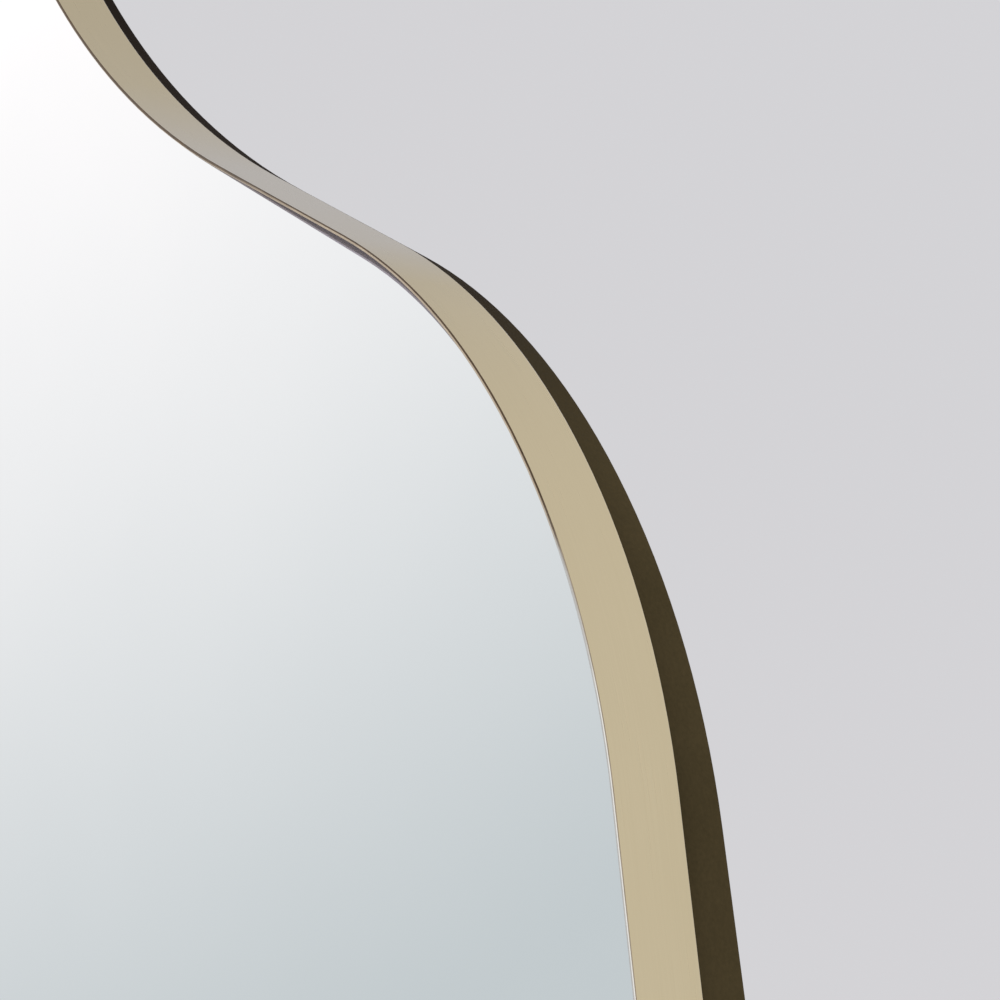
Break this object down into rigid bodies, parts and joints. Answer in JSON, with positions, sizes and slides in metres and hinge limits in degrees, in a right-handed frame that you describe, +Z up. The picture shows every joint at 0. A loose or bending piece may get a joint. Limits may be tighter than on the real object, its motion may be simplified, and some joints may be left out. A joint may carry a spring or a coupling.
{
  "type": "wall mirror",
  "caption": "Freeform wall mirror with a lobed, wavy outline: glass in a slim bent-metal band, on a dark recessed spacer frame with swinging wire rings for wall hooks.",
  "frame": {"origin": "middle of the outline, on the crossbar's rear face, which lies against the wall", "axes": "+X to the viewer's right, +Z up, the glass faces -Y and the wall lies at +Y"},
  "size_m": [0.6649, 0.038, 0.802],
  "materials": {
    "band_gold": "satin, faintly brushed, champagne tone",
    "silvered_glass": "polished float glass, silvered at the back, arrissed edge",
    "board_mdf": "bare fibreboard",
    "spacer_dark_paint": "fibreboard with dark brown matt paint",
    "tape_foam": "white closed-cell foam",
    "bare_steel": "bare cold-rolled steel",
    "zinc_steel": "zinc plated"
  },
  "bodies": {
    "mirror": {"frame_band_left": "band_gold", "frame_band_right": "band_gold", "splice_plate_crown": "bare_steel", "splice_plate_foot": "bare_steel", "mirror_glass": "silvered_glass", "backing_board": "board_mdf", "spacer_frame": "spacer_dark_paint", "tape_strip_1": "tape_foam", "tape_strip_2": "tape_foam", "tape_strip_3": "tape_foam", "tape_strip_4": "tape_foam", "tape_strip_5": "tape_foam", "tape_strip_6": "tape_foam", "frame_tab_1": "bare_steel", "frame_tab_2": "bare_steel", "frame_tab_3": "bare_steel", "frame_tab_4": "bare_steel", "frame_tab_5": "bare_steel", "frame_tab_6": "bare_steel", "frame_tab_7": "bare_steel", "frame_tab_8": "bare_steel", "frame_tab_9": "bare_steel", "tab_screws": "zinc_steel", "spacer_screws": "zinc_steel", "hanger_strap_left": "zinc_steel", "hanger_strap_right": "zinc_steel", "hanger_screws_left": "zinc_steel", "hanger_screws_right": "zinc_steel"},
    "ring_left": {"hanger_ring_left": "zinc_steel"},
    "ring_right": {"hanger_ring_right": "zinc_steel"}
  },
  "joints": [
    {"name": "ring_left_swing", "type": "hinge", "parent": "mirror", "child": "ring_left", "pos_m": [-0.12846, -0.01342, 0.08], "axis": [1, 0, 0], "range_deg": [0, 180]},
    {"name": "ring_right_swing", "type": "hinge", "parent": "mirror", "child": "ring_right", "pos_m": [0.02733, -0.01342, 0.08], "axis": [1, 0, 0], "range_deg": [0, 180]}
  ]
}
